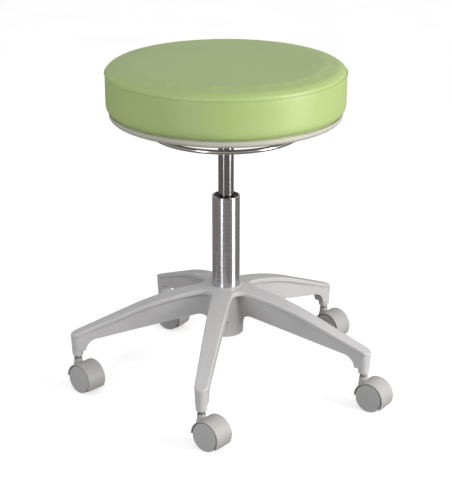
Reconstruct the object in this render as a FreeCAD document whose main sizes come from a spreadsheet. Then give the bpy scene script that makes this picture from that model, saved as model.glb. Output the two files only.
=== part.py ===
"""Round upholstered work stool on a gas lift, with a ring lever and a five-arm caster base.

Millimetres, +Z up. The origin is on the floor, under the column's axis.
The front arm of the star base points along -Y.
"""

import math
import os

import FreeCAD
import Part
import Sketcher

os.makedirs("parts", exist_ok=True)
doc = FreeCAD.newDocument("Stool")

# ---------------------------------------------------------------- driving dimensions

SIZES = {
    # seat
    "seat_radius": 212.5,
    "seat_bottom": 516.5,
    "seam_level": 588.0,
    "seat_top": 601.5,
    "crown_radius": 13.3,
    "cover_thick": 1.5,
    "lip_thick": 0.7,
    "foot_round": 15.0,
    "pan_radius": 206.0,
    "pan_bottom": 505.0,
    "pan_rim": 516.5,
    "pan_wall": 3.0,
    "board_radius": 198.0,
    # seat mechanism
    "plate_side": 150.0,
    "plate_thick": 3.0,
    "bolt_spacing": 100.0,
    "bolt_radius": 3.0,
    "channel_half": 26.0,
    "channel_front": 50.0,
    "channel_rear": 40.0,
    "channel_floor": 469.0,
    "socket_radius": 19.0,
    "socket_bottom": 466.0,
    "socket_top": 487.5,
    # ring lever
    "ring_radius": 131.0,
    "ring_rod": 4.0,
    "ring_level": 477.0,
    "inner_ring_radius": 64.0,
    "spoke_rod": 3.0,
    "pivot_offset": 30.0,
    "pivot_level": 487.0,
    "pivot_radius": 3.0,
    "pivot_boss": 6.0,
    "tongue_half": 8.0,
    "tongue_thick": 4.0,
    # gas lift
    "cylinder_radius": 14.0,
    "cylinder_wall": 1.8,
    "cylinder_bottom": 240.0,
    "cylinder_top": 488.0,
    "taper_start": 462.0,
    "taper_radius": 12.9,
    "rod_radius": 5.0,
    "rod_bottom": 93.0,
    "piston_level": 250.0,
    "release_radius": 4.0,
    "release_top": 494.4,
    "column_radius": 25.0,
    "column_wall": 1.8,
    "column_bottom": 100.0,
    "column_top": 358.0,
    "bush_bottom": 290.0,
    "fit_gap": 0.05,
    # star base
    "stem_circle": 275.0,
    "flange_root_half": 19.8,
    "flange_taper": 0.0287,
    "flange_thick": 9.0,
    "flange_round": 2.2,
    "flange_corner": 20.0,
    "web_root_half": 8.0,
    "web_taper": -0.012,
    "web_corner": 18.0,
    "sleeve_radius": 33.0,
    "sleeve_bottom": 93.0,
    "hub_level": 186.5,
    "arm_mid_radius": 104.0,
    "arm_mid_level": 173.2,
    "arm_knee_radius": 182.0,
    "arm_knee_level": 147.5,
    "arm_end_level": 104.6,
    "arch_radius": 56.0,
    "arch_level": 133.0,
    "web_end_radius": 236.0,
    "web_end_level": 98.5,
    "boss_radius": 11.9,
    "boss_bottom": 63.0,
    # casters
    "wheel_radius": 26.0,
    "caster_trail": 21.5,
    "hood_inner": 27.2,
    "hood_outer": 29.3,
    "hood_half": 19.5,
    "wheel_inner_face": 4.0,
    "tyre_outer_face": 17.6,
    "cap_outer_face": 19.8,
    "cap_radius": 25.7,
    "axle_radius": 3.0,
    "web_half": 2.5,
    "stem_radius": 5.5,
    "stem_foot": 46.0,
    "stem_top": 100.0,
    "neck_radius": 7.7,
    "neck_top": 57.5,
    "socket_depth": 102.0,
    "grip_radius": 6.6,
}

ARM_COUNT = 5
FRONT_ARM_ANGLE = -90.0
ARM_STEP = 360.0 / ARM_COUNT
# each caster has stopped in its own direction: the angle its axle trails towards
TRAIL_ANGLES = {
    "front": -30.0,
    "right_front": -26.9,
    "right_rear": -32.8,
    "left_rear": -22.5,
    "left_front": -34.6,
}

sheet = doc.addObject("Spreadsheet::Sheet", "Sizes")
for row, (alias, number) in enumerate(SIZES.items(), start=1):
    sheet.set(f"A{row}", alias)
    sheet.set(f"B{row}", str(number))
    sheet.setAlias(f"B{row}", alias)
doc.recompute()


def bound(text):
    """The expression with every size name read from the sheet."""
    words = text.replace("(", " ( ").replace(")", " ) ").split()
    return " ".join(f"Sizes.{word}" if word in SIZES else word for word in words)


def value(text):
    """The number an expression stands for now."""
    return float(sheet.evalExpression(bound(text)))


# ---------------------------------------------------------------- sketch helpers


def new_body(label):
    body = doc.addObject("PartDesign::Body", label)
    body.Label = label
    return body


def origin_plane(body, role):
    return next(item for item in body.Origin.OriginFeatures if item.Role == role)


def sketch_on(body, name, role="XZ_Plane", lift=None):
    """A sketch on one of the body's own origin planes, lifted along its normal."""
    sketch = body.newObject("Sketcher::SketchObject", name)
    sketch.AttachmentSupport = [(origin_plane(body, role), "")]
    sketch.MapMode = "FlatFace"
    if lift is not None:
        sketch.setExpression("AttachmentOffset.Base.z", bound(lift))
    return sketch


def pin_point(sketch, geometry, point, x, y):
    """Holds a point at x, y from the sketch's origin, both given as expressions."""
    for kind, text in (("DistanceX", x), ("DistanceY", y)):
        index = sketch.addConstraint(
            Sketcher.Constraint(kind, -1, 1, geometry, point, value(text))
        )
        sketch.setExpression(f"Constraints[{index}]", bound(text))


def outline(sketch, points):
    """A closed outline: a point is (x, y), or (x, y, bulge x, bulge y) at the end of an arc."""
    count = len(points)
    places = [(value(p[0]), value(p[1])) for p in points]
    pieces = []
    for index, end in enumerate(points):
        first = FreeCAD.Vector(*places[index - 1], 0)
        last = FreeCAD.Vector(*places[index], 0)
        if len(end) == 4:
            bulge = FreeCAD.Vector(value(end[2]), value(end[3]), 0)
            arc = Part.Arc(first, bulge, last)
            piece = sketch.addGeometry(arc, False)
            # an arc in a sketch always runs anticlockwise, so its ends may be swapped
            start = sketch.getPoint(piece, 1)
            flipped = start.distanceToPoint(first) > start.distanceToPoint(last)
            through = sketch.addGeometry(Part.Point(bulge), True)
            pin_point(sketch, through, 1, end[2], end[3])
            sketch.addConstraint(Sketcher.Constraint("PointOnObject", through, 1, piece))
        else:
            piece = sketch.addGeometry(Part.LineSegment(first, last), False)
            flipped = False
        pieces.append((piece, 2 if flipped else 1, 1 if flipped else 2))
    for index in range(count):
        piece, _, tail = pieces[index]
        following, head, _ = pieces[(index + 1) % count]
        sketch.addConstraint(Sketcher.Constraint("Coincident", piece, tail, following, head))
        pin_point(sketch, piece, tail, points[index][0], points[index][1])


def circle(sketch, x, y, radius):
    centre = FreeCAD.Vector(value(x), value(y), 0)
    normal = FreeCAD.Vector(0, 0, 1)
    piece = sketch.addGeometry(Part.Circle(centre, normal, value(radius)), False)
    pin_point(sketch, piece, 3, x, y)
    index = sketch.addConstraint(Sketcher.Constraint("Radius", piece, value(radius)))
    sketch.setExpression(f"Constraints[{index}]", bound(radius))


def rectangle(sketch, left, low, right, high):
    outline(sketch, [(left, low), (right, low), (right, high), (left, high)])


def turned(body, points, name="profile", axis="V_Axis", cut=False, role="XZ_Plane"):
    """Turns a profile about an axis of its sketch: right is outwards, up is along the axis."""
    sketch = sketch_on(body, name, role)
    outline(sketch, points)
    kind = "PartDesign::Groove" if cut else "PartDesign::Revolution"
    feature = body.newObject(kind, name + "_turned")
    feature.Profile = sketch
    feature.ReferenceAxis = (sketch, [axis])
    feature.Angle = 360.0
    doc.recompute()
    return feature


def padded(body, sketch, length, both_ways=False, backwards=False):
    feature = body.newObject("PartDesign::Pad", sketch.Name + "_pad")
    feature.Profile = sketch
    feature.setExpression("Length", bound(length))
    feature.Midplane = both_ways
    feature.Reversed = backwards
    doc.recompute()
    return feature


def pocketed(body, sketch, length, both_ways=False, backwards=False):
    """Cuts a sketch out of the body, and makes sure that it cut something."""
    before = body.Shape.Volume
    feature = body.newObject("PartDesign::Pocket", sketch.Name + "_pocket")
    feature.Profile = sketch
    feature.setExpression("Length", bound(length))
    feature.Midplane = both_ways
    feature.Reversed = backwards
    doc.recompute()
    assert body.Shape.Volume < before - 1.0, f"{sketch.Name} cut nothing"
    return feature


def rounded(body, radius, chosen, name="rounding"):
    """Rounds the edges of the body's last feature that a test picks."""
    tip = body.Tip
    edges = [f"Edge{i}" for i, edge in enumerate(tip.Shape.Edges, start=1) if chosen(edge)]
    feature = body.newObject("PartDesign::Fillet", name)
    feature.Base = (tip, edges)
    feature.Radius = radius
    doc.recompute()
    return feature


def ring_profile(inner, outer, low, high):
    return [(inner, low), (outer, low), (outer, high), (inner, high)]


# ---------------------------------------------------------------- seat


def make_seat_cover():
    """Vinyl skin: crowned top panel, upright band and a turned-in bottom edge."""
    body = new_body("seat_cover")
    turned(
        body,
        [
            ("0", "seat_top - cover_thick"),
            ("seat_radius - 1.5 - crown_radius", "seam_level + crown_radius - cover_thick"),
            (
                "seat_radius - 1.5 - cover_thick",
                "seam_level",
                "seat_radius - 1.5 - crown_radius * 0.2929 - cover_thick * 0.7071",
                "seam_level + crown_radius * 0.7071 - cover_thick * 0.7071",
            ),
            (
                "seat_radius - 1.5 - cover_thick",
                "seat_bottom + foot_round",
                "seat_radius - cover_thick",
                "seat_bottom + 42",
            ),
            (
                "board_radius + 2",
                "seat_bottom",
                "seat_radius - 6.4",
                "seat_bottom + 4.4",
            ),
            ("board_radius", "seat_bottom"),
            ("board_radius", "seat_bottom - lip_thick"),
            ("board_radius + 2", "seat_bottom - lip_thick"),
            (
                "seat_radius - 1.5",
                "seat_bottom + foot_round",
                "seat_radius - 5.4",
                "seat_bottom + 3.4",
            ),
            ("seat_radius - 1.5", "seam_level", "seat_radius", "seat_bottom + 42"),
            (
                "seat_radius - 1.5 - crown_radius",
                "seam_level + crown_radius",
                "seat_radius - 1.5 - crown_radius * 0.2929",
                "seam_level + crown_radius * 0.7071",
            ),
            ("0", "seat_top"),
        ],
    )


def make_seat_foam():
    body = new_body("seat_foam")
    turned(
        body,
        [
            ("0", "seat_bottom"),
            ("board_radius + 2", "seat_bottom"),
            (
                "seat_radius - 1.5 - cover_thick",
                "seat_bottom + foot_round",
                "seat_radius - 6.4",
                "seat_bottom + 4.4",
            ),
            (
                "seat_radius - 1.5 - cover_thick",
                "seam_level",
                "seat_radius - cover_thick",
                "seat_bottom + 42",
            ),
            (
                "seat_radius - 1.5 - crown_radius",
                "seam_level + crown_radius - cover_thick",
                "seat_radius - 1.5 - crown_radius * 0.2929 - cover_thick * 0.7071",
                "seam_level + crown_radius * 0.7071 - cover_thick * 0.7071",
            ),
            ("0", "seat_top - cover_thick"),
        ],
    )


def bolt_places():
    half = value("bolt_spacing / 2")
    return [(x, y) for x in (-half, half) for y in (-half, half)]


def bolt_circles(sketch, radius):
    for x in ("0 - bolt_spacing / 2", "bolt_spacing / 2"):
        for y in ("0 - bolt_spacing / 2", "bolt_spacing / 2"):
            circle(sketch, x, y, radius)


def make_seat_board():
    """Plywood disc with holes and shallow seats for four tee nuts."""
    body = new_body("seat_board")
    disc = sketch_on(body, "board_disc", "XY_Plane", "pan_bottom + pan_wall")
    circle(disc, "0", "0", "board_radius")
    padded(body, disc, "seat_bottom - pan_bottom - pan_wall")
    holes = sketch_on(body, "barrel_holes", "XY_Plane", "seat_bottom")
    bolt_circles(holes, "bolt_radius + 1.2")
    pocketed(body, holes, "seat_bottom - pan_bottom - pan_wall")
    seats = sketch_on(body, "flange_seats", "XY_Plane", "seat_bottom")
    bolt_circles(seats, "bolt_radius + 6.5")
    pocketed(body, seats, "1.2")


def make_seat_pan():
    """Moulded dish under the cushion, with a rolled lower edge and a stiffening ring."""
    body = new_body("seat_pan")
    turned(
        body,
        [
            ("0", "pan_bottom"),
            ("pan_radius - 9", "pan_bottom"),
            ("pan_radius", "pan_bottom + 6", "pan_radius - 2.4", "pan_bottom + 1.9"),
            ("pan_radius", "pan_rim"),
            ("pan_radius - pan_wall", "pan_rim"),
            ("pan_radius - pan_wall", "pan_bottom + pan_wall"),
            ("0", "pan_bottom + pan_wall"),
        ],
    )
    turned(body, ring_profile("150", "153", "pan_bottom - 4", "pan_bottom + 1"), "stiffener")
    holes = sketch_on(body, "bolt_holes", "XY_Plane", "pan_bottom + pan_wall")
    bolt_circles(holes, "bolt_radius + 0.4")
    pocketed(body, holes, "pan_wall")


def make_grouped(label, pieces):
    """Identical small parts in one group of separate solids."""
    shape = Part.makeCompound(pieces)
    group = doc.addObject("Part::Feature", label)
    group.Label = label
    group.Shape = shape
    group.Placement = FreeCAD.Placement()
    return group


def make_tee_nuts():
    """Four flanged nuts pressed into the board from above."""
    low = value("pan_bottom + pan_wall + 1")
    high = value("seat_bottom")
    inner = value("bolt_radius")
    nuts = []
    for x, y in bolt_places():
        at = FreeCAD.Vector(x, y, low)
        barrel = Part.makeCylinder(value("bolt_radius + 1.2"), high - low, at)
        flange = Part.makeCylinder(
            value("bolt_radius + 6.5"), 1.2, FreeCAD.Vector(x, y, high - 1.2)
        )
        bore = Part.makeCylinder(inner, high - low, at)
        nuts.append(barrel.fuse(flange).cut(bore).removeSplitter())
    make_grouped("tee_nuts", nuts)


def make_plate_bolts():
    """Four hexagon head screws from below, each with its washer face."""
    top = value("seat_bottom - 1.0")
    plate_low = value("pan_bottom - plate_thick")
    bolts = []
    for x, y in bolt_places():
        corners = [
            FreeCAD.Vector(
                x + 5.8 * math.cos(math.radians(60 * k)),
                y + 5.8 * math.sin(math.radians(60 * k)),
                plate_low - 5.2,
            )
            for k in range(7)
        ]
        head = Part.Face(Part.makePolygon(corners)).extrude(FreeCAD.Vector(0, 0, 4.0))
        washer = Part.makeCylinder(7.0, 1.2, FreeCAD.Vector(x, y, plate_low - 1.2))
        shank = Part.makeCylinder(
            value("bolt_radius"), top - plate_low, FreeCAD.Vector(x, y, plate_low)
        )
        bolts.append(head.fuse([washer, shank]).removeSplitter())
    make_grouped("plate_bolts", bolts)


# ---------------------------------------------------------------- seat mechanism


def make_mechanism_plate():
    """Steel plate with a channel welded under it and a tapered socket for the lift."""
    body = new_body("mechanism_plate")
    plate = sketch_on(body, "plate_outline", "XY_Plane", "pan_bottom")
    half = "plate_side / 2"
    rectangle(plate, f"0 - {half}", f"0 - {half}", half, half)
    padded(body, plate, "plate_thick", backwards=True)
    walls = sketch_on(body, "channel_walls", "XY_Plane", "pan_bottom - plate_thick")
    inner = "channel_half - plate_thick"
    rectangle(walls, inner, "0 - channel_front", "channel_half", "channel_rear")
    rectangle(walls, "0 - channel_half", "0 - channel_front", f"0 - ( {inner} )", "channel_rear")
    padded(body, walls, "pan_bottom - plate_thick - channel_floor", backwards=True)
    floor = sketch_on(body, "channel_floor_outline", "XY_Plane", "channel_floor")
    rectangle(floor, "0 - channel_half", "0 - channel_front", "channel_half", "channel_rear")
    padded(body, floor, "plate_thick")
    socket = sketch_on(body, "socket_outline", "XY_Plane", "socket_bottom")
    circle(socket, "0", "0", "socket_radius")
    padded(body, socket, "socket_top - socket_bottom")
    # the bore follows the lift's taper from its mouth to its narrow end
    turned(
        body,
        [
            ("0", "taper_start"),
            ("cylinder_radius", "taper_start"),
            ("taper_radius", "cylinder_top"),
            ("0", "cylinder_top"),
        ],
        "taper_bore",
        cut=True,
    )
    holes = sketch_on(body, "plate_holes", "XY_Plane", "pan_bottom")
    bolt_circles(holes, "bolt_radius + 0.4")
    pocketed(body, holes, "plate_thick")
    pivot = sketch_on(body, "pivot_holes", "YZ_Plane")
    circle(pivot, "0 - pivot_offset", "pivot_level", "pivot_radius")
    pocketed(body, pivot, "channel_half * 2 + 2", both_ways=True)
    rounded(
        body,
        12.0,
        lambda e: e.BoundBox.ZLength > 2.5
        and e.BoundBox.ZLength < 3.5
        and abs(abs(e.BoundBox.Center.x) - value("plate_side / 2")) < 0.1
        and abs(abs(e.BoundBox.Center.y) - value("plate_side / 2")) < 0.1,
        "plate_corners",
    )


def torus(name, radius, rod):
    ring = doc.addObject("Part::Torus", name)
    ring.setExpression("Radius1", bound(radius))
    ring.setExpression("Radius2", bound(rod))
    ring.setExpression("Placement.Base.z", bound("ring_level"))
    return ring


def cylinder(name, radius, length):
    rod = doc.addObject("Part::Cylinder", name)
    rod.setExpression("Radius", bound(radius))
    rod.setExpression("Height", bound(length))
    return rod


def fused(label, pieces):
    union = doc.addObject("Part::MultiFuse", label)
    union.Label = label
    union.Shapes = pieces
    doc.recompute()
    return union


def make_lever_ring():
    """Chromed rod ring on three spokes, whose tongue reaches over the lift's release pin."""
    pieces = [
        torus("outer_ring", "ring_radius", "ring_rod"),
        torus("inner_ring", "inner_ring_radius", "spoke_rod"),
    ]
    for number, angle in enumerate((-30.0, 90.0, 210.0), start=1):
        spoke = cylinder(f"spoke_{number}", "spoke_rod", "ring_radius - inner_ring_radius")
        turn = math.radians(angle)
        outward = FreeCAD.Vector(math.cos(turn), math.sin(turn), 0)
        start = outward * value("inner_ring_radius")
        start.z = value("ring_level")
        spoke.Placement = FreeCAD.Placement(
            start, FreeCAD.Rotation(FreeCAD.Vector(0, 0, 1), outward)
        )
        pieces.append(spoke)

    # side view of the tongue: right is +Y, up is +Z
    tongue_side = doc.addObject("Sketcher::SketchObject", "tongue_side")
    tongue_side.Placement = FreeCAD.Placement(
        FreeCAD.Vector(0, 0, 0), FreeCAD.Rotation(FreeCAD.Vector(1, 1, 1), 120)
    )
    over_pin = "release_top + 0.1"
    outline(
        tongue_side,
        [
            ("0 - inner_ring_radius", "ring_level - tongue_thick / 2"),
            ("0 - pivot_offset - 10", "ring_level - tongue_thick / 2"),
            ("0 - pivot_offset + 1", "pivot_level - pivot_boss + 0.2"),
            ("0 - pivot_offset + pivot_boss - 0.2", "pivot_level"),
            ("0 - pivot_offset + pivot_boss + 4", over_pin),
            ("6", over_pin),
            ("6", f"{over_pin} + tongue_thick"),
            ("0 - pivot_offset - 3", f"{over_pin} + tongue_thick"),
            ("0 - pivot_offset - 16", "ring_level + tongue_thick / 2"),
            ("0 - inner_ring_radius", "ring_level + tongue_thick / 2"),
        ],
    )
    tongue = doc.addObject("Part::Extrusion", "tongue")
    tongue.Base = tongue_side
    tongue.DirMode = "Normal"
    tongue.Solid = True
    tongue.Symmetric = True
    tongue.setExpression("LengthFwd", bound("tongue_half * 2"))
    boss = cylinder("pivot_boss_tube", "pivot_boss", "channel_half * 2 - 12")
    along_x = FreeCAD.Rotation(FreeCAD.Vector(0, 0, 1), FreeCAD.Vector(1, 0, 0))
    boss.Placement = FreeCAD.Placement(
        FreeCAD.Vector(
            value("6 - channel_half"), value("0 - pivot_offset"), value("pivot_level")
        ),
        along_x,
    )
    solid = fused("lever_solid", pieces + [tongue, boss])
    bore = cylinder("pivot_bore", "pivot_radius + fit_gap", "channel_half * 2")
    bore.Placement = FreeCAD.Placement(
        FreeCAD.Vector(value("0 - channel_half"), value("0 - pivot_offset"), value("pivot_level")),
        along_x,
    )
    lever = doc.addObject("Part::Cut", "lever_ring")
    lever.Label = "lever_ring"
    lever.Base = solid
    lever.Tool = bore
    doc.recompute()
    return lever


def make_pivot_pin():
    """Headed pin across the channel, which the ring lever tilts on."""
    body = new_body("pivot_pin")
    shank = sketch_on(body, "pin_shank", "YZ_Plane")
    circle(shank, "0 - pivot_offset", "pivot_level", "pivot_radius")
    padded(body, shank, "channel_half * 2 + 2", both_ways=True)
    head = sketch_on(body, "pin_head", "YZ_Plane", "channel_half")
    circle(head, "0 - pivot_offset", "pivot_level", "pivot_radius + 2")
    padded(body, head, "1.6")
    rounded(body, 0.5, lambda e: e.BoundBox.XLength < 0.01 and e.BoundBox.XMin > 27)


# ---------------------------------------------------------------- gas lift


def make_pressure_cylinder():
    """Chromed cylinder with a tapered head, open inside for the piston's stroke."""
    body = new_body("pressure_cylinder")
    bore = "cylinder_radius - cylinder_wall"
    turned(
        body,
        [
            ("rod_radius + fit_gap", "cylinder_bottom"),
            ("cylinder_radius - 1.2", "cylinder_bottom"),
            (
                "cylinder_radius",
                "cylinder_bottom + 1.2",
                "cylinder_radius - 0.35",
                "cylinder_bottom + 0.35",
            ),
            ("cylinder_radius", "taper_start"),
            ("taper_radius", "cylinder_top"),
            ("release_radius + fit_gap", "cylinder_top"),
            ("release_radius + fit_gap", "cylinder_top - 24"),
            (bore, "cylinder_top - 24"),
            (bore, "cylinder_bottom + 6"),
            ("rod_radius + fit_gap", "cylinder_bottom + 6"),
        ],
    )


def make_release_pin():
    """Valve pin with a domed head, standing out of the lift's tapered top."""
    body = new_body("release_pin")
    turned(
        body,
        [
            ("0", "cylinder_top - 20"),
            ("release_radius", "cylinder_top - 20"),
            ("release_radius", "release_top - 1.1"),
            ("release_radius - 1.4", "release_top - 0.35"),
            ("0.8", "release_top"),
            ("0", "release_top"),
        ],
    )


def make_piston_rod():
    """Rod with its piston, a groove for the clip and a domed lower end."""
    body = new_body("piston_rod")
    head = "cylinder_radius - cylinder_wall - 0.2"
    groove_low = "column_bottom - 3"
    turned(
        body,
        [
            ("0", "rod_bottom"),
            ("rod_radius - 1", "rod_bottom"),
            ("rod_radius", "rod_bottom + 1"),
            ("rod_radius", groove_low),
            ("rod_radius - 1", groove_low),
            ("rod_radius - 1", f"{groove_low} + 1.6"),
            ("rod_radius", f"{groove_low} + 1.6"),
            ("rod_radius", "piston_level"),
            (head, "piston_level"),
            (head, "piston_level + 12"),
            ("0", "piston_level + 12"),
        ],
    )


def make_rod_clip():
    """Spring clip in the rod's groove, which holds the lift down in the column."""
    body = new_body("rod_clip")
    low = "column_bottom - 3"
    turned(body, ring_profile("rod_radius - 1", "rod_radius + 3.5", low, f"{low} + 1.5"))
    slot = sketch_on(body, "clip_mouth", "XY_Plane", f"{low} + 1.5")
    rectangle(slot, "0", "0 - 2.6", "rod_radius + 5", "2.6")
    pocketed(body, slot, "1.5")


def make_thrust_bearing():
    """Two hardened washers and the cage of balls between them."""
    low = value("column_bottom + 3")
    inner = value("rod_radius + fit_gap")
    outer = value("rod_radius + 5")
    pieces = []
    for offset, height, near, far in (
        (0.0, 1.2, inner, outer),
        (1.2, 2.4, inner + 1.0, outer - 1.0),
        (3.6, 1.2, inner, outer),
    ):
        at = FreeCAD.Vector(0, 0, low + offset)
        pieces.append(Part.makeCylinder(far, height, at).cut(Part.makeCylinder(near, height, at)))
    make_grouped("thrust_bearing", [pieces[0].fuse(pieces[1:])])


def make_outer_column():
    """Steel tube pressed into the hub, with a floor that carries the bearing."""
    body = new_body("outer_column")
    bore = "column_radius - column_wall"
    turned(
        body,
        [
            ("rod_radius + 0.4", "column_bottom"),
            ("column_radius - 1", "column_bottom"),
            ("column_radius", "column_bottom + 1"),
            ("column_radius", "column_top - 0.7"),
            (
                "column_radius - 0.7",
                "column_top",
                "column_radius - 0.2",
                "column_top - 0.2",
            ),
            (bore, "column_top"),
            (bore, "column_bottom + 3"),
            ("rod_radius + 0.4", "column_bottom + 3"),
        ],
    )


def make_guide_bush():
    """Acetal bush in the mouth of the column, with a dished top and a wiper lip."""
    body = new_body("guide_bush")
    bore = "cylinder_radius + fit_gap"
    wall = "column_radius - column_wall"
    turned(
        body,
        [
            (bore, "bush_bottom"),
            (wall, "bush_bottom"),
            (wall, "column_top - 2.5"),
            (f"{wall} - 1", "column_top - 2.5"),
            (f"{bore} + 2", "column_top - 5"),
            (f"{bore} + 1.2", "column_top - 2.2"),
            (bore, "column_top - 2.2"),
        ],
    )


# ---------------------------------------------------------------- star base


def star_outline(root_half, taper, corner):
    """Plan of five tapered arms with round tips, and a round corner between neighbours.

    An arm's side runs at half width = root_half - taper * distance from the axis.
    """
    centre = value("stem_circle")
    slant = math.hypot(1.0, taper)
    normal = FreeCAD.Vector(taper / slant, 1.0 / slant, 0)
    tip_radius = (root_half - taper * centre) / slant
    half_step = math.radians(ARM_STEP / 2)
    reach = (corner * slant + root_half) / (math.sin(half_step) + taper * math.cos(half_step))
    corner_centre = FreeCAD.Vector(reach * math.cos(half_step), reach * math.sin(half_step), 0)
    root = corner_centre - normal * corner
    shoulder = FreeCAD.Vector(centre, 0, 0) + normal * tip_radius
    tip = FreeCAD.Vector(centre + tip_radius, 0, 0)
    crotch = corner_centre * ((reach - corner) / reach)

    def spun(point, angle):
        return FreeCAD.Rotation(FreeCAD.Vector(0, 0, 1), angle).multVec(point)

    def mirrored(point):
        return FreeCAD.Vector(point.x, -point.y, 0)

    edges = []
    for arm in range(ARM_COUNT):
        angle = FRONT_ARM_ANGLE + arm * ARM_STEP
        following = angle + ARM_STEP
        edges.append(Part.LineSegment(spun(mirrored(root), angle), spun(mirrored(shoulder), angle)))
        edges.append(
            Part.Arc(spun(mirrored(shoulder), angle), spun(tip, angle), spun(shoulder, angle))
        )
        edges.append(Part.LineSegment(spun(shoulder, angle), spun(root, angle)))
        edges.append(
            Part.Arc(spun(root, angle), spun(crotch, angle), spun(mirrored(root), following))
        )
    return Part.Wire([edge.toShape() for edge in edges])


def star_prism(name, root_half, taper, corner):
    plan = doc.addObject("Part::Feature", name + "_plan")
    plan.Shape = star_outline(value(root_half), value(taper), value(corner))
    plan.Placement = FreeCAD.Placement(FreeCAD.Vector(0, 0, 50), FreeCAD.Rotation())
    prism = doc.addObject("Part::Extrusion", name + "_prism")
    prism.Base = plan
    prism.DirMode = "Custom"
    prism.Dir = FreeCAD.Vector(0, 0, 1)
    prism.LengthFwd = 150.0
    prism.Solid = True
    return prism


def spun_profile(name, points):
    """A profile turned about the column's axis, outside any body."""
    side = doc.addObject("Sketcher::SketchObject", name + "_side")
    side.Placement = FreeCAD.Placement(
        FreeCAD.Vector(0, 0, 0), FreeCAD.Rotation(FreeCAD.Vector(1, 0, 0), 90)
    )
    outline(side, points)
    turn = doc.addObject("Part::Revolution", name + "_turned")
    turn.Source = side
    turn.Axis = FreeCAD.Vector(0, 0, 1)
    turn.Base = FreeCAD.Vector(0, 0, 0)
    turn.Angle = 360.0
    turn.Solid = True
    return turn


def common(name, first, second):
    both = doc.addObject("Part::Common", name)
    both.Base = first
    both.Tool = second
    doc.recompute()
    return both


def edge_fillet(name, base, radius, chosen):
    feature = doc.addObject("Part::Fillet", name)
    feature.Base = base
    feature.Edges = [
        (index, radius, radius)
        for index, edge in enumerate(base.Shape.Edges, start=1)
        if chosen(edge)
    ]
    doc.recompute()
    return feature


def make_star_base():
    """Moulded nylon star: T-section arms, a deep hub sleeve and tapered stem bosses."""
    # the top sweeps down from the hub in a shallow arc and runs straight to the tips
    flange = common(
        "flange_block",
        star_prism("flange", "flange_root_half", "flange_taper", "flange_corner"),
        spun_profile(
            "flange",
            [
                ("26", "hub_level - flange_thick"),
                (
                    "arm_knee_radius",
                    "arm_knee_level - flange_thick",
                    "arm_mid_radius",
                    "arm_mid_level - flange_thick",
                ),
                ("stem_circle + 14", "arm_end_level - flange_thick"),
                ("stem_circle + 14", "arm_end_level"),
                ("arm_knee_radius", "arm_knee_level"),
                ("26", "hub_level", "arm_mid_radius", "arm_mid_level"),
            ],
        ),
    )
    far_from_hole = 30.0
    soft_flange = edge_fillet(
        "flange_soft",
        flange,
        value("flange_round"),
        lambda edge: edge.BoundBox.ZLength > 0.4
        and math.hypot(edge.Vertexes[0].X, edge.Vertexes[0].Y) > far_from_hole
        and not is_upright(edge),
    )
    # the web's lower edge: an arch beside the sleeve, a long slope and a curve into the boss
    web = common(
        "web_block",
        star_prism("web", "web_root_half", "web_taper", "web_corner"),
        spun_profile(
            "web",
            [
                ("26", "110"),
                ("sleeve_radius", "110"),
                ("arch_radius", "arch_level", "arch_radius - 17", "arch_level - 5.5"),
                ("web_end_radius", "web_end_level"),
                (
                    "web_end_radius + 25",
                    "web_end_level - 23",
                    "web_end_radius + 18",
                    "web_end_level - 8",
                ),
                ("stem_circle", "web_end_level - 23"),
                ("stem_circle", "arm_end_level + 1.5"),
                ("arm_knee_radius", "arm_knee_level - flange_thick / 2"),
                (
                    "26",
                    "hub_level - flange_thick / 2",
                    "arm_mid_radius",
                    "arm_mid_level - flange_thick / 2",
                ),
            ],
        ),
    )
    sleeve = spun_profile(
        "sleeve",
        [
            ("column_radius", "sleeve_bottom"),
            ("sleeve_radius - 2.5", "sleeve_bottom"),
            ("sleeve_radius - 1", "sleeve_bottom + 1.5"),
            ("sleeve_radius + 0.6", "hub_level - flange_thick / 2"),
            ("sleeve_radius - 5", "hub_level + 0.6"),
            ("column_radius + 0.8", "hub_level + 0.6"),
            ("column_radius", "hub_level - 0.2"),
        ],
    )
    bosses = []
    for arm in range(ARM_COUNT):
        boss = turned_boss(f"boss_{arm}")
        boss.Placement = arm_frame(arm)
        bosses.append(boss)
    solid = fused("star_solid", [soft_flange, web, sleeve] + bosses)
    sockets = []
    for arm in range(ARM_COUNT):
        socket = cylinder(f"stem_socket_{arm}", "grip_radius", "socket_depth - boss_bottom + 1")
        place = arm_frame(arm)
        place.Base.z = value("boss_bottom - 1")
        socket.Placement = place
        sockets.append(socket)
    bore = cylinder("column_bore", "column_radius", "hub_level")
    bore.Placement = FreeCAD.Placement(
        FreeCAD.Vector(0, 0, value("sleeve_bottom - 1")), FreeCAD.Rotation()
    )
    star = doc.addObject("Part::Cut", "star_base")
    star.Label = "star_base"
    star.Base = solid
    star.Tool = fused("star_bores", sockets + [bore])
    doc.recompute()
    return star


def is_upright(edge):
    return edge.BoundBox.XLength < 0.1 and edge.BoundBox.YLength < 0.1


def arm_frame(arm):
    """A frame at an arm's stem, on the floor, with its X axis along the arm."""
    angle = FRONT_ARM_ANGLE + arm * ARM_STEP
    turn = FreeCAD.Rotation(FreeCAD.Vector(0, 0, 1), angle)
    return FreeCAD.Placement(turn.multVec(FreeCAD.Vector(value("stem_circle"), 0, 0)), turn)


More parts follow.
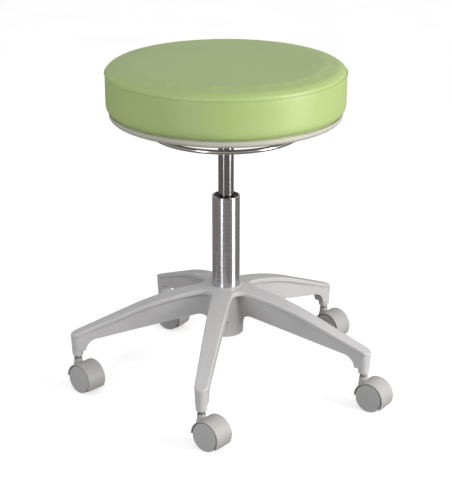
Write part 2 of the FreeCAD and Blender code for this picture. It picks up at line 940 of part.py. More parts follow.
def turned_boss(name):
    """Tapered boss under an arm's tip, with a round lower edge."""
    side = doc.addObject("Sketcher::SketchObject", name + "_side")
    upright = FreeCAD.Placement(
        FreeCAD.Vector(0, 0, 0), FreeCAD.Rotation(FreeCAD.Vector(1, 0, 0), 90)
    )
    outline(
        side,
        [
            ("0", "boss_bottom"),
            ("boss_radius - 3.9", "boss_bottom"),
            ("boss_radius - 1.9", "boss_bottom + 5", "boss_radius - 2.3", "boss_bottom + 2"),
            ("boss_radius - 0.4", "95"),
            ("boss_radius - 0.4", "100"),
            ("0", "100"),
        ],
    )
    side.Placement = upright
    turn = doc.addObject("Part::Revolution", name + "_turned")
    turn.Source = side
    turn.Axis = FreeCAD.Vector(0, 0, 1)
    turn.Base = FreeCAD.Vector(0, 0, 0)
    turn.Angle = 360.0
    turn.Solid = True
    return turn


def make_grip_rings():
    """Spring-steel sleeves in the five bosses, one round each stem."""
    rings = []
    low = value("boss_bottom")
    height = value("stem_top - boss_bottom - 6")
    for arm in range(ARM_COUNT):
        at = arm_frame(arm).Base
        at.z = low
        outer = Part.makeCylinder(value("grip_radius"), height, at)
        inner = Part.makeCylinder(value("stem_radius + fit_gap"), height, at)
        rings.append(outer.cut(inner))
    make_grouped("grip_rings", rings)


# ---------------------------------------------------------------- casters


def make_caster_hood(name, frame):
    """Hood over both wheels, with a web between them and a neck for the stem.

    Local frame: stem axis at the origin, X the way the axle trails, Z up.
    """
    body = new_body(f"hood_{name}")
    axle_x, axle_z = "caster_trail", "wheel_radius"
    ahead = "caster_trail - hood_outer"
    shell = sketch_on(body, f"hood_shell_{name}", "XZ_Plane")
    # the shell runs from level with the axle in front, over the top, to 36 degrees under it behind
    cos_end, sin_end = "0.8090", "0.5878"
    outline(
        shell,
        [
            (
                ahead,
                axle_z,
                f"{axle_x} + hood_outer * 0.4226",
                f"{axle_z} + hood_outer * 0.9063",
            ),
            (f"{axle_x} - hood_inner", axle_z),
            (
                f"{axle_x} + hood_inner * {cos_end}",
                f"{axle_z} - hood_inner * {sin_end}",
                f"{axle_x} + hood_inner * 0.4226",
                f"{axle_z} + hood_inner * 0.9063",
            ),
            (
                f"{axle_x} + hood_outer * {cos_end}",
                f"{axle_z} - hood_outer * {sin_end}",
            ),
        ],
    )
    padded(body, shell, "hood_half * 2", both_ways=True)
    neck = sketch_on(body, f"neck_{name}", "XZ_Plane")
    outline(
        neck,
        [
            ("0", "38"),
            ("neck_radius + 1.6", "38"),
            ("neck_radius + 1.4", "44"),
            ("neck_radius", "52", "neck_radius + 0.3", "47.6"),
            ("neck_radius", "neck_top - 0.8"),
            ("neck_radius - 0.8", "neck_top"),
            ("0", "neck_top"),
        ],
    )
    turn = body.newObject("PartDesign::Revolution", f"neck_turned_{name}")
    turn.Profile = neck
    turn.ReferenceAxis = (neck, ["V_Axis"])
    turn.Angle = 360.0
    doc.recompute()
    well = sketch_on(body, f"wheel_well_{name}", "XZ_Plane")
    circle(well, axle_x, axle_z, "hood_inner")
    pocketed(body, well, "hood_half * 3", both_ways=True)
    web = sketch_on(body, f"hood_web_{name}", "XZ_Plane")
    circle(web, axle_x, axle_z, "hood_inner - 4")
    padded(body, web, "web_half * 2", both_ways=True)
    bridge = sketch_on(body, f"hood_bridge_{name}", "XZ_Plane")
    outline(
        bridge,
        [
            ("0 - 2", "30"),
            ("caster_trail", "30"),
            ("caster_trail + 18", "42"),
            ("caster_trail", "wheel_radius + hood_inner + 1", "caster_trail + 12", "48.5"),
            ("0 - 2", "42"),
        ],
    )
    padded(body, bridge, "web_half * 2", both_ways=True)
    stem_hole = sketch_on(body, f"stem_hole_{name}", "XY_Plane", "neck_top")
    circle(stem_hole, "0", "0", "stem_radius")
    pocketed(body, stem_hole, "neck_top - stem_foot")
    axle_hole = sketch_on(body, f"axle_hole_{name}", "XZ_Plane")
    circle(axle_hole, axle_x, axle_z, "axle_radius")
    pocketed(body, axle_hole, "hood_half * 2", both_ways=True)
    body.Placement = frame


def make_caster_stem(name, frame):
    """Steel stem with the flange that the arm stands on and a domed top."""
    body = new_body(f"stem_{name}")
    turned(
        body,
        [
            ("0", "stem_foot"),
            ("stem_radius", "stem_foot"),
            ("stem_radius", "neck_top"),
            ("grip_radius + 0.2", "neck_top"),
            ("grip_radius + 0.2", "neck_top + 2.6"),
            ("stem_radius", "neck_top + 2.6"),
            ("stem_radius", "stem_top - 2"),
            ("stem_radius - 2", "stem_top"),
            ("0", "stem_top"),
        ],
        f"stem_profile_{name}",
    )
    body.Placement = frame


def make_caster_axle(name, frame):
    body = new_body(f"axle_{name}")
    rod = sketch_on(body, f"axle_outline_{name}", "XZ_Plane")
    circle(rod, "caster_trail", "wheel_radius", "axle_radius")
    padded(body, rod, "tyre_outer_face * 2 - 4", both_ways=True)
    body.Placement = frame


def wheel_frame(frame, side):
    """A frame at the wheel's centre whose Z axis runs outwards along the axle."""
    local = FreeCAD.Placement(
        FreeCAD.Vector(value("caster_trail"), 0, value("wheel_radius")),
        FreeCAD.Rotation(FreeCAD.Vector(1, 0, 0), -90.0 * side),
    )
    return frame.multiply(local)


def make_wheel(name, side_name, side, frame):
    """Moulded wheel: round-shouldered tread, thin disc, and a hub on the axle."""
    body = new_body(f"wheel_{name}_{side_name}")
    turned(
        body,
        [
            ("axle_radius + fit_gap", "wheel_inner_face"),
            ("axle_radius + 4", "wheel_inner_face"),
            ("axle_radius + 4", "wheel_inner_face + 7"),
            ("wheel_radius - 4.5", "wheel_inner_face + 7"),
            ("wheel_radius - 4.5", "wheel_inner_face"),
            ("wheel_radius - 3", "wheel_inner_face"),
            (
                "wheel_radius",
                "wheel_inner_face + 3",
                "wheel_radius - 0.88",
                "wheel_inner_face + 0.88",
            ),
            ("wheel_radius", "tyre_outer_face - 0.6"),
            ("wheel_radius - 0.6", "tyre_outer_face"),
            ("axle_radius + fit_gap", "tyre_outer_face"),
        ],
        f"wheel_profile_{name}_{side_name}",
    )
    body.Placement = wheel_frame(frame, side)


def make_wheel_cap(name, side_name, side, frame):
    """Smooth disc that closes the wheel's outer face, slightly domed with a round edge."""
    body = new_body(f"cap_{name}_{side_name}")
    turned(
        body,
        [
            ("0", "tyre_outer_face"),
            ("cap_radius", "tyre_outer_face"),
            ("cap_radius", "cap_outer_face - 1.5"),
            (
                "cap_radius - 1.3",
                "cap_outer_face - 0.3",
                "cap_radius - 0.35",
                "cap_outer_face - 0.6",
            ),
            ("4", "cap_outer_face"),
            ("0", "cap_outer_face"),
        ],
        f"cap_profile_{name}_{side_name}",
    )
    body.Placement = wheel_frame(frame, side)


def make_casters():
    for arm, (name, trail_angle) in enumerate(TRAIL_ANGLES.items()):
        frame = FreeCAD.Placement(
            arm_frame(arm).Base, FreeCAD.Rotation(FreeCAD.Vector(0, 0, 1), trail_angle)
        )
        make_caster_hood(name, frame)
        make_caster_stem(name, frame)
        make_caster_axle(name, frame)
        for side_name, side in (("a", 1), ("b", -1)):
            make_wheel(name, side_name, side, frame)
            make_wheel_cap(name, side_name, side, frame)


# ---------------------------------------------------------------- build and write

make_seat_cover()
make_seat_foam()
make_seat_board()
make_seat_pan()
make_tee_nuts()
make_plate_bolts()
make_mechanism_plate()
make_lever_ring()
make_pivot_pin()
make_pressure_cylinder()
make_release_pin()
make_piston_rod()
make_rod_clip()
make_thrust_bearing()
make_outer_column()
make_guide_bush()
make_star_base()
make_grip_rings()
make_casters()
doc.recompute()

faulty = [o.Name for o in doc.Objects if {"Invalid", "Error"} & set(o.State)]
assert not faulty, f"failed features: {faulty}"

nodes = [
    o
    for o in doc.Objects
    if o.TypeId == "PartDesign::Body"
    or o.Label in ("lever_ring", "star_base")
    or (o.TypeId == "Part::Feature" and not o.Name.endswith("_plan"))
]
for node in nodes:
    shape = node.Shape
    assert not shape.isNull() and shape.isValid(), node.Label
    print(f"{node.Label:22s} {len(shape.Solids)} solids {shape.Volume / 1000:10.2f} cm3")
for node in nodes:
    node.Shape.exportStep(f"parts/{node.Label}.step")
print(len(nodes), "nodes written")
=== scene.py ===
# %% [markdown]
# # A work stool with a round cushion
#
# The stool is a round upholstered cushion on a moulded pan, a gas lift that a ring
# lever sets free, and a moulded star base on five twin-wheel casters. The metal and
# plastic parts come ready from the CAD model, the frame. This lesson gives them their
# finishes, sews the cushion, and lights the stool in a plain studio.

# %% Load the frame
import math

import bpy
import numpy as np
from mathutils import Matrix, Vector


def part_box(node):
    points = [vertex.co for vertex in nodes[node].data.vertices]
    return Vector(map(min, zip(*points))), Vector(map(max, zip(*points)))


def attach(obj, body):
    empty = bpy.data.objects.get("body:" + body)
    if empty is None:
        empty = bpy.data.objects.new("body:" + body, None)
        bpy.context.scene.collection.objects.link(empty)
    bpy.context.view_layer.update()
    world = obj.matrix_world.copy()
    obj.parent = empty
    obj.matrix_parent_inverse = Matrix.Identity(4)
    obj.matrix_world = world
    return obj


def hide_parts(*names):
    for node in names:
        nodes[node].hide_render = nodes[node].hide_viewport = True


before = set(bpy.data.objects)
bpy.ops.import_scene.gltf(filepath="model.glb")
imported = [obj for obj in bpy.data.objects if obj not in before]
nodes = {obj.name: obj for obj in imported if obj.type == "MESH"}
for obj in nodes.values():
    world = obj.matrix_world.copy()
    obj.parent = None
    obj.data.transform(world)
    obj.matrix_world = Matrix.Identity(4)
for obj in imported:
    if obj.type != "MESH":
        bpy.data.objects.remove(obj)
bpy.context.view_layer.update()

MM = 0.001

# %% [markdown]
# ## Colour and node helpers
#
# Paint and plastic colours are written as the hex values that a colour picker shows.
# The shader works in linear light, so one function turns them. A second one adds a
# node with its settings and links, so that each material below reads as a list.


# %% Helpers for materials
def linear(hex_colour):
    """An sRGB hex colour as linear red, green, blue and alpha."""
    channels = [int(hex_colour[i : i + 2], 16) / 255 for i in (1, 3, 5)]
    return [
        c / 12.92 if c <= 0.04045 else ((c + 0.055) / 1.055) ** 2.4 for c in channels
    ] + [1.0]


def add(material, kind, links=(), **settings):
    """A node of a kind: settings name sockets or properties, links are (socket, source)."""
    node = material.node_tree.nodes.new("ShaderNode" + kind)
    for name, setting in settings.items():
        socket = node.inputs.get(name.replace("_", " "))
        if hasattr(node, name):
            setattr(node, name, setting)
        else:
            socket.default_value = setting
    for socket, source in links:
        material.node_tree.links.new(source, node.inputs[socket])
    return node


def new_material(name):
    """An empty material, its Principled shader and its object coordinates."""
    material = bpy.data.materials.new(name)
    material.use_nodes = True
    shader = material.node_tree.nodes["Principled BSDF"]
    place = add(material, "TexCoord").outputs["Object"]
    return material, shader, place


def link(material, source, node, socket):
    material.node_tree.links.new(source, node.inputs[socket])


def set_shader(shader, **settings):
    for name, setting in settings.items():
        shader.inputs[name.replace("_", " ")].default_value = setting


def two_tones(material, factor, dark, light, low=0.35, high=0.65):
    """A ramp between two hex colours, where a pattern runs from low to high."""
    ramp = add(material, "ValToRGB", [("Fac", factor)])
    ramp.color_ramp.elements[0].position = low
    ramp.color_ramp.elements[0].color = linear(dark)
    ramp.color_ramp.elements[1].position = high
    ramp.color_ramp.elements[1].color = linear(light)
    return ramp.outputs["Color"]


def spread(material, factor, low, high):
    """A pattern from 0 to 1 mapped to low to high, such as a roughness."""
    mapped = add(material, "MapRange", [("Value", factor)], To_Min=low, To_Max=high)
    return mapped.outputs["Result"]


# %% [markdown]
# ## Moulded plastics
#
# The star base is glass-filled nylon, moulded in a spark-eroded tool: a semi-gloss
# skin with a very fine, shallow texture, and slightly cloudy colour where the melt
# met itself. The pan, the hoods and the wheel discs are unfilled plastic of other
# greys. A function makes one moulded plastic, because they differ only in numbers.


# %% Moulded plastic
def moulded_plastic(name, dark, light, rough, grain_mm=0.9, depth_mm=0.02, coat=0.0):
    """Cloudy two-tone colour, uneven gloss and the tool's fine texture."""
    material, shader, place = new_material(name)
    cloud = add(material, "TexNoise", [("Vector", place)], Scale=9.0, Detail=3.0)
    link(material, two_tones(material, cloud.outputs["Fac"], dark, light), shader, "Base Color")
    worn = add(material, "TexNoise", [("Vector", place)], Scale=45.0, Detail=4.0)
    link(
        material,
        spread(material, worn.outputs["Fac"], rough - 0.05, rough + 0.06),
        shader,
        "Roughness",
    )
    grain = add(material, "TexNoise", [("Vector", place)], Scale=1 / (grain_mm * MM), Detail=2.0)
    bump = add(
        material,
        "Bump",
        [("Height", grain.outputs["Fac"])],
        Strength=0.35,
        Distance=depth_mm * MM,
    )
    link(material, bump.outputs["Normal"], shader, "Normal")
    set_shader(shader, IOR=1.5, Coat_Weight=coat, Coat_Roughness=0.15)
    return material


base_nylon = moulded_plastic("moulded_grey_nylon", "#bebdbd", "#c5c4c4", 0.36, coat=0.12)
pan_plastic = moulded_plastic("moulded_pan_polypropylene", "#b8b6a9", "#bfbdb0", 0.45)
hood_plastic = moulded_plastic("moulded_light_grey_nylon", "#a9a8a5", "#b0afac", 0.42)
disc_plastic = moulded_plastic("moulded_mid_grey_disc", "#adaeac", "#b4b5b3", 0.36)
bush_plastic = moulded_plastic("turned_black_acetal", "#0e0e0f", "#161617", 0.38)
tread_rubber = moulded_plastic("soft_dark_tread", "#262524", "#312f2e", 0.55, depth_mm=0.04)
print("plastics made")

# %% [markdown]
# ## Metals
#
# The column is a steel tube brushed while it turned in a lathe, so its scratches run
# round it. Such a surface spreads a reflection across the scratches: a softbox shows
# as a bright line from end to end. The cylinder and the ring are hard chromed and
# polished, with only a little haze. Screws and clips are zinc plated.


# %% Brushed and polished steel
def turned_steel(name, colour, rough, stretch, scratch_mm, depth_mm):
    """Steel with scratches that run round the upright axis."""
    material, shader, place = new_material(name)
    squashed = add(material, "Mapping", [("Vector", place)], Scale=(0.002, 0.002, 1.0))
    lines = add(
        material,
        "TexNoise",
        [("Vector", squashed.outputs["Vector"])],
        Scale=1 / (scratch_mm * MM),
        Detail=3.0,
    )
    link(
        material,
        spread(material, lines.outputs["Fac"], rough - 0.05, rough + 0.07),
        shader,
        "Roughness",
    )
    smudge = add(material, "TexNoise", [("Vector", place)], Scale=14.0, Detail=2.0)
    link(
        material,
        two_tones(material, smudge.outputs["Fac"], colour[0], colour[1]),
        shader,
        "Base Color",
    )
    bump = add(
        material,
        "Bump",
        [("Height", lines.outputs["Fac"])],
        Strength=0.3,
        Distance=depth_mm * MM,
    )
    link(material, bump.outputs["Normal"], shader, "Normal")
    round_axis = add(material, "Tangent", direction_type="RADIAL", axis="Z")
    link(material, round_axis.outputs["Tangent"], shader, "Tangent")
    set_shader(shader, Metallic=1.0, Anisotropic=stretch, Anisotropic_Rotation=0.25)
    return material


def plated_steel(name, dark, light, rough):
    """Chrome or zinc on steel: clear reflections and faint handling haze."""
    material, shader, place = new_material(name)
    haze = add(material, "TexNoise", [("Vector", place)], Scale=30.0, Detail=5.0)
    link(material, two_tones(material, haze.outputs["Fac"], dark, light), shader, "Base Color")
    link(
        material,
        spread(material, haze.outputs["Fac"], rough * 0.6, rough * 1.5),
        shader,
        "Roughness",
    )
    pits = add(material, "TexNoise", [("Vector", place)], Scale=2500.0, Detail=1.0)
    bump = add(
        material, "Bump", [("Height", pits.outputs["Fac"])], Strength=0.1, Distance=0.004 * MM
    )
    link(material, bump.outputs["Normal"], shader, "Normal")
    set_shader(shader, Metallic=1.0)
    return material


column_steel = turned_steel("brushed_steel_tube", ("#d4d3d6", "#dbdadd"), 0.25, 0.85, 0.35, 0.0006)
cylinder_chrome = turned_steel("hard_chromed_cylinder", ("#aeabac", "#b5b2b3"), 0.16, 0.7, 0.3, 0.0003)
ring_chrome = plated_steel("polished_chromed_rod", "#dad6d1", "#e1ddd8", 0.2)
stem_steel = plated_steel("nickel_plated_stem", "#a9a7a3", "#b5b3af", 0.3)
zinc_steel = plated_steel("bright_zinc_plate", "#9fa1a4", "#b1b3b5", 0.3)
print("metals made")


# %% Black enamel and the hidden wood and foam
def black_enamel_on_steel():
    """Stoved black enamel, with the soft orange peel that spraying leaves."""
    material, shader, place = new_material("stoved_black_enamel")
    peel = add(material, "TexNoise", [("Vector", place)], Scale=700.0, Detail=1.0)
    bump = add(
        material, "Bump", [("Height", peel.outputs["Fac"])], Strength=0.4, Distance=0.03 * MM
    )
    link(material, bump.outputs["Normal"], shader, "Normal")
    dust = add(material, "TexNoise", [("Vector", place)], Scale=20.0, Detail=3.0)
    link(
        material,
        two_tones(material, dust.outputs["Fac"], "#161617", "#1f1f20"),
        shader,
        "Base Color",
    )
    link(material, spread(material, dust.outputs["Fac"], 0.3, 0.42), shader, "Roughness")
    return material


def birch_plywood():
    """Rotary-cut birch: pale wavy grain from wide rings cut at a low angle."""
    material, shader, place = new_material("birch_plywood")
    stretched = add(material, "Mapping", [("Vector", place)], Scale=(1.0, 0.08, 1.0))
    grain = add(
        material,
        "TexNoise",
        [("Vector", stretched.outputs["Vector"])],
        Scale=160.0,
        Detail=6.0,
        Distortion=0.6,
    )
    link(
        material,
        two_tones(material, grain.outputs["Fac"], "#b98f5c", "#d9b988"),
        shader,
        "Base Color",
    )
    link(material, spread(material, grain.outputs["Fac"], 0.5, 0.7), shader, "Roughness")
    bump = add(
        material, "Bump", [("Height", grain.outputs["Fac"])], Strength=0.3, Distance=0.1 * MM
    )
    link(material, bump.outputs["Normal"], shader, "Normal")
    return material


enamel = black_enamel_on_steel()
plywood = birch_plywood()
foam = moulded_plastic("open_cell_foam", "#d9cba2", "#e8dcb8", 0.9, grain_mm=1.2, depth_mm=0.6)

# %% [markdown]
# ## Which finish goes where
#
# A CAD node keeps its mesh and gets a new finish by its name. The meshes come in as
# flat triangles, so smooth shading up to 30 degrees is set too: turned and rounded
# faces then look round, while machined corners stay crisp.

# %% Finishes on the frame's nodes
FINISHES = {
    "star_base": base_nylon,
    "outer_column": column_steel,
    "guide_bush": bush_plastic,
    "pressure_cylinder": cylinder_chrome,
    "piston_rod": zinc_steel,
    "rod_clip": zinc_steel,
    "thrust_bearing": zinc_steel,
    "release_pin": zinc_steel,
    "lever_ring": ring_chrome,
    "pivot_pin": zinc_steel,
    "plate_bolts": zinc_steel,
    "tee_nuts": zinc_steel,
    "grip_rings": zinc_steel,
    "mechanism_plate": enamel,
    "seat_pan": pan_plastic,
    "seat_board": plywood,
    "seat_foam": foam,
    "hood_": hood_plastic,
    "stem_": stem_steel,
    "axle_": zinc_steel,
    "wheel_": tread_rubber,
    "cap_": disc_plastic,
}


def finish_for(name):
    if name in FINISHES:
        return FINISHES[name]
    return next((m for start, m in FINISHES.items() if name.startswith(start)), None)


def shade_smooth(piece, degrees=30.0):
    bpy.ops.object.select_all(action="DESELECT")
    piece.select_set(True)
    bpy.context.view_layer.objects.active = piece
    bpy.ops.object.shade_smooth_by_angle(angle=math.radians(degrees))


for name, node in nodes.items():
    finish = finish_for(name)
    if finish is None:
        continue
    node.data.materials.clear()
    node.data.materials.append(finish)
    shade_smooth(node)
print("finishes set")

# %% [markdown]
# ## Turning a profile
#
# Round pieces are made as on a lathe: a single point is extruded along half of the
# section, and the Spin tool turns it about the upright axis. The ends that meet and
# the points on the axis are merged, and the normals are turned outwards.


# %% A lathe
def clear_selection():
    if bpy.context.object and bpy.context.object.mode != "OBJECT":
        bpy.ops.object.mode_set(mode="OBJECT")
    bpy.ops.object.select_all(action="DESELECT")


def lathe(name, profile, steps, closed=False):
    """A piece turned from (radius, height) points in metres."""
    clear_selection()
    bpy.ops.mesh.primitive_plane_add(size=0.01)
    piece = bpy.context.object
    piece.name = piece.data.name = name
    bpy.ops.object.mode_set(mode="EDIT")
    bpy.ops.mesh.select_all(action="SELECT")
    bpy.ops.mesh.merge(type="CENTER")
    here = profile[0]
    bpy.ops.transform.translate(value=(here[0], 0, here[1]))
    ends = list(profile[1:]) + ([profile[0]] if closed else [])
    for there in ends:
        step = (there[0] - here[0], 0, there[1] - here[1])
        bpy.ops.mesh.extrude_region_move(TRANSFORM_OT_translate={"value": step})
        here = there
    bpy.ops.mesh.select_all(action="SELECT")
    bpy.ops.mesh.spin(steps=steps, angle=2 * math.pi, center=(0, 0, 0), axis=(0, 0, 1))
    bpy.ops.mesh.select_all(action="SELECT")
    bpy.ops.mesh.remove_doubles(threshold=1e-6)
    bpy.ops.mesh.normals_make_consistent(inside=False)
    bpy.ops.object.mode_set(mode="OBJECT")
    return piece


def apply_modifier(piece, kind, **settings):
    modifier = piece.modifiers.new(kind.title(), kind)
    for setting, number in settings.items():
        setattr(modifier, setting, number)
    bpy.ops.object.select_all(action="DESELECT")
    piece.select_set(True)
    bpy.context.view_layer.objects.active = piece
    bpy.ops.object.modifier_apply(modifier=modifier.name)


# %% [markdown]
# ## The cushion
#
# The cushion is boxed: a flat round top panel is sewn to an upright band, and the
# vinyl is pulled round the foot of the foam and stapled under the board. Foam pushes
# each panel out between its seams. So the cushion is turned as a plain drum first,
# remeshed into even squares, and blown up a little as cloth, with the seam and the
# foot held. The travel is capped, because vinyl on firm foam hardly moves.

# %% Turn and inflate the cushion
cover_low, cover_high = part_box("seat_cover")
CUSHION_RADIUS = cover_high.x - 1.0 * MM
CUSHION_FOOT = cover_low.z + 1.0 * MM
CUSHION_TOP = cover_high.z
SEAM_HEIGHT = CUSHION_TOP - 13.5 * MM
FOOT_ROUND = 12.0 * MM
SEAM_STAND_OUT = 0.2 * MM
CROWN_CENTRE_IN = 20 * MM
CROWN_ACROSS = 19.5 * MM
CROWN_UP = 12.6 * MM
TOP_DIP = 0.7 * MM
REMESH_SQUARE = 4.5 * MM


def quarter(centre, radius_out, radius_up, start, end, count):
    """Points on an elliptical quarter, by angle in degrees."""
    return [
        (
            centre[0] + radius_out * math.cos(math.radians(a)),
            centre[1] + radius_up * math.sin(math.radians(a)),
        )
        for a in np.linspace(start, end, count)
    ]


foot_centre = (CUSHION_RADIUS - FOOT_ROUND, CUSHION_FOOT + FOOT_ROUND)
crown_centre = (CUSHION_RADIUS - CROWN_CENTRE_IN, SEAM_HEIGHT)
drum = [(0.0, CUSHION_FOOT)]
drum += quarter(foot_centre, FOOT_ROUND, FOOT_ROUND, -90, 0, 7)
drum += [(CUSHION_RADIUS + SEAM_STAND_OUT, SEAM_HEIGHT)]
drum += quarter(crown_centre, CROWN_ACROSS, CROWN_UP, 12, 90, 9)
drum += [(0.0, CUSHION_TOP - TOP_DIP)]
cushion = lathe("cushion", drum, 128)
apply_modifier(cushion, "REMESH", mode="VOXEL", voxel_size=REMESH_SQUARE)
print("cushion drum:", len(cushion.data.vertices), "points")


def points_of(piece):
    flat = np.empty(len(piece.data.vertices) * 3)
    piece.data.vertices.foreach_get("co", flat)
    return flat.reshape(-1, 3)


def set_points(piece, points):
    piece.data.vertices.foreach_set("co", points.ravel())
    piece.data.update()


def inflate(piece, frames=16, most=2.2 * MM):
    """Blows the cover up as cloth, held at the seam and the foot, and caps its travel."""
    rest = points_of(piece)
    held = piece.vertex_groups.new(name="held")
    for index, (x, y, z) in enumerate(rest):
        edge = math.exp(-(((z - SEAM_HEIGHT) / (5 * MM)) ** 2))
        edge *= math.hypot(x, y) > CUSHION_RADIUS - 8 * MM
        foot = 1.0 if z < CUSHION_FOOT + 6 * MM else 0.0
        held.add([index], max(edge, foot), "REPLACE")
    cloth = piece.modifiers.new("Cloth", "CLOTH")
    cloth.settings.quality = 5
    cloth.settings.mass = 0.4
    cloth.settings.tension_stiffness = 30
    cloth.settings.compression_stiffness = 30
    cloth.settings.bending_stiffness = 4
    cloth.settings.use_pressure = True
    cloth.settings.uniform_pressure_force = 4
    cloth.settings.vertex_group_mass = "held"
    cloth.settings.effector_weights.gravity = 0
    cloth.point_cache.frame_end = frames
    for step in range(1, frames + 1):
        bpy.context.scene.frame_set(step)
    seen = piece.evaluated_get(bpy.context.evaluated_depsgraph_get())
    blown = np.array([v.co[:] for v in seen.data.vertices])
    piece.modifiers.remove(cloth)
    bpy.context.scene.frame_set(1)
    travel = blown - rest
    length = np.maximum(np.linalg.norm(travel, axis=1, keepdims=True), 1e-9)
    set_points(piece, rest + travel * np.minimum(1.0, most / length))
    print("cushion moved up to", round(float(length.max()) * 1000, 1), "mm before the cap")


inflate(cushion)
apply_modifier(cushion, "SMOOTH", factor=0.5, iterations=4)
apply_modifier(cushion, "SUBSURF", levels=1, render_levels=1)

# %% [markdown]
# The seam comes after the cloth: a narrow groove where the two panels are pulled
# together, pressed into the finished mesh, so that it stays sharp.


# %% Press the seam groove
def press_groove(piece, height, depth, width):
    """Pulls a narrow ring of the side wall inwards at a height."""
    points = points_of(piece)
    radius = np.hypot(points[:, 0], points[:, 1])
    side = radius > CUSHION_RADIUS - 12 * MM
    pull = depth * np.exp(-(((points[:, 2] - height) / width) ** 2)) * side
    scale = 1 - pull / np.maximum(radius, 1e-6)
    points[:, 0] *= scale
    points[:, 1] *= scale
    set_points(piece, points)


press_groove(cushion, SEAM_HEIGHT, 0.5 * MM, 1.4 * MM)
clear_selection()
shade_smooth(cushion, 60)

# %% [markdown]
# Just under the groove the edge of the band is folded over the seam allowance, which
# shows as a thin raised bead all round. It is turned as a small closed ring.

# %% The seam bead
BEAD = 1.1 * MM
bead_centre = (CUSHION_RADIUS, SEAM_HEIGHT - 1.9 * MM)
bead_section = quarter(bead_centre, BEAD, BEAD, 0, 330, 12)
seam_bead = lathe("seam_bead", bead_section, 192, closed=True)
shade_smooth(seam_bead, 80)
print("seam bead:", len(seam_bead.data.polygons), "faces")

# %% [markdown]
# Below, the vinyl is pulled down over the edge of the board, between the board and the
# wall of the pan, and stapled out of sight. A closed ring stands for that turned edge.

# %% The turned edge
board_low, board_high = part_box("seat_board")
pan_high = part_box("seat_pan")[1]
edge_in = board_high.x + 0.4 * MM
edge_out = pan_high.x - 3.5 * MM
edge_profile = [
    (edge_in, board_low.z + 3 * MM),
    (edge_out - 0.8 * MM, board_low.z + 3 * MM),
    (edge_out, board_low.z + 5 * MM),
    (edge_out, pan_high.z),
    (edge_out - 1.2 * MM, CUSHION_FOOT + 2 * MM),
    (edge_in, CUSHION_FOOT + 2 * MM),
]
turned_edge = lathe("turned_edge", edge_profile, 192, closed=True)
shade_smooth(turned_edge, 50)

# %% [markdown]
# ## Vinyl
#
# Upholstery vinyl is a PVC skin on knitted cloth, embossed with a shallow leather
# grain of cells about a millimetre wide. It is soft semi-gloss: broad highlights,
# with a slightly uneven sheen where hands have polished it.


# %% Green upholstery vinyl
def upholstery_vinyl():
    material, shader, place = new_material("vinyl_upholstery")
    patch = add(material, "TexNoise", [("Vector", place)], Scale=6.0, Detail=3.0)
    link(
        material,
        two_tones(material, patch.outputs["Fac"], "#a5ba75", "#a9be79"),
        shader,
        "Base Color",
    )
    link(material, spread(material, patch.outputs["Fac"], 0.40, 0.48), shader, "Roughness")
    cells = add(material, "TexVoronoi", [("Vector", place)], Scale=1 / (1.1 * MM))
    fine = add(material, "TexNoise", [("Vector", place)], Scale=1 / (2.5 * MM), Detail=3.0)
    both = add(
        material,
        "Math",
        [(0, cells.outputs["Distance"]), (1, fine.outputs["Fac"])],
        operation="ADD",
    )
    bump = add(
        material, "Bump", [("Height", both.outputs["Value"])], Strength=0.25, Distance=0.05 * MM
    )
    link(material, bump.outputs["Normal"], shader, "Normal")
    set_shader(shader, IOR=1.5, Sheen_Weight=0.05)
    return material


vinyl = upholstery_vinyl()
for piece in (cushion, seam_bead, turned_edge):
    piece.data.materials.clear()
    piece.data.materials.append(vinyl)
    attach(piece, "seat")
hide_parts("seat_cover", "seat_foam")

# %% [markdown]
# ## Studio
#
# A plain pale floor, a soft grey surround and two upright softboxes. The right one is
# wide and bright and models the cushion from light to shade; the left one is narrow
# and draws the second bright line on the column.

# %% Floor and surround
WORLD_ABOVE = "#c2c2c2"
WORLD_BELOW = "#7b7874"
clear_selection()
bpy.ops.mesh.primitive_plane_add(size=30)
floor = bpy.context.object
floor.name = "floor"
floor_material, floor_shader, floor_place = new_material("matt_white_floor")
speck = add(floor_material, "TexNoise", [("Vector", floor_place)], Scale=3.0)
link(
    floor_material,
    two_tones(floor_material, speck.outputs["Fac"], "#d0d0d0", "#d6d6d6"),
    floor_shader,
    "Base Color",
)
set_shader(floor_shader, Roughness=0.8, Specular_IOR_Level=0.1)
set_shader(floor_shader, Emission_Color=(1, 1, 1, 1), Emission_Strength=0.6)
floor.data.materials.append(floor_material)
floor.visible_diffuse = False
floor.visible_glossy = False

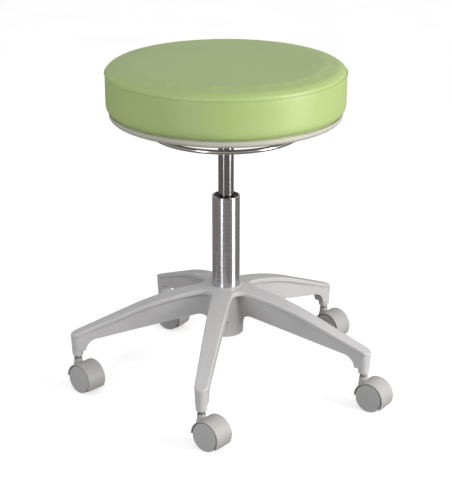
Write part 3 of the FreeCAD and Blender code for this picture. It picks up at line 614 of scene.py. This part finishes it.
FAR_SIDE_GAIN = 1.08
scene = bpy.context.scene
scene.view_settings.view_transform = "Standard"
world = bpy.data.worlds.new("studio")
world.use_nodes = True
scene.world = world
direction = add(world, "TexCoord").outputs["Generated"]
split = add(world, "SeparateXYZ", [("Vector", direction)])
rise = add(world, "MapRange", [("Value", split.outputs["Z"])], From_Min=-0.12, From_Max=0.12)
shade = two_tones(world, rise.outputs["Result"], WORLD_BELOW, WORLD_ABOVE, 0.0, 1.0)
link(world, shade, world.node_tree.nodes["Background"], "Color")
far_side = add(
    world,
    "MapRange",
    [("Value", split.outputs["Y"])],
    From_Min=-0.3,
    From_Max=0.5,
    To_Min=1.0,
    To_Max=FAR_SIDE_GAIN,
)
link(world, far_side.outputs["Result"], world.node_tree.nodes["Background"], "Strength")


# %% Softboxes
def softbox(name, azimuth, width, watts, tint, elevation=9, height=1.9, distance=2.4):
    """An area light placed by its direction from the stool, in degrees and metres."""
    a, e = math.radians(azimuth), math.radians(elevation)
    aim = Vector((0, 0, LIGHT_AIM_HEIGHT))
    away = Vector((math.sin(a) * math.cos(e), -math.cos(a) * math.cos(e), math.sin(e)))
    light = bpy.data.lights.new(name, "AREA")
    light.shape = "RECTANGLE"
    light.size, light.size_y = width, height
    light.energy = watts
    light.color = tint
    lamp = bpy.data.objects.new(name, light)
    scene.collection.objects.link(lamp)
    lamp.location = aim + away * distance
    lamp.rotation_euler = away.to_track_quat("Z", "Y").to_euler()
    lamp.visible_camera = False
    return lamp


VIEW_AZIMUTH = 8.71
LIGHT_AIM_HEIGHT = 0.35
WARM_WHITE = (1.0, 0.98, 0.95)
COOL_WHITE = (0.94, 0.96, 1.0)
softbox("softbox_right", VIEW_AZIMUTH + 65, 0.8, 66, WARM_WHITE)
softbox("softbox_left", VIEW_AZIMUTH - 34, 0.42, 23.5, COOL_WHITE)

# %% [markdown]
# ## Camera
#
# A long lens from a little above the seat, turned to the right of the front arm.

# %% Camera
VIEW_ELEVATION = 20.2
VIEW_DISTANCE = 2.7822
AIM = Vector((0.0, 0.0, 0.2711))
a, e = math.radians(VIEW_AZIMUTH), math.radians(VIEW_ELEVATION)
camera = bpy.data.objects.new("camera", bpy.data.cameras.new("camera"))
scene.collection.objects.link(camera)
back = Vector((math.sin(a) * math.cos(e), -math.cos(a) * math.cos(e), math.sin(e)))
camera.location = AIM + back * VIEW_DISTANCE
camera.rotation_euler = back.to_track_quat("Z", "Y").to_euler()
camera.data.lens = 114.96
camera.data.sensor_width = 36.0
camera.data.dof.use_dof = False
scene.camera = camera
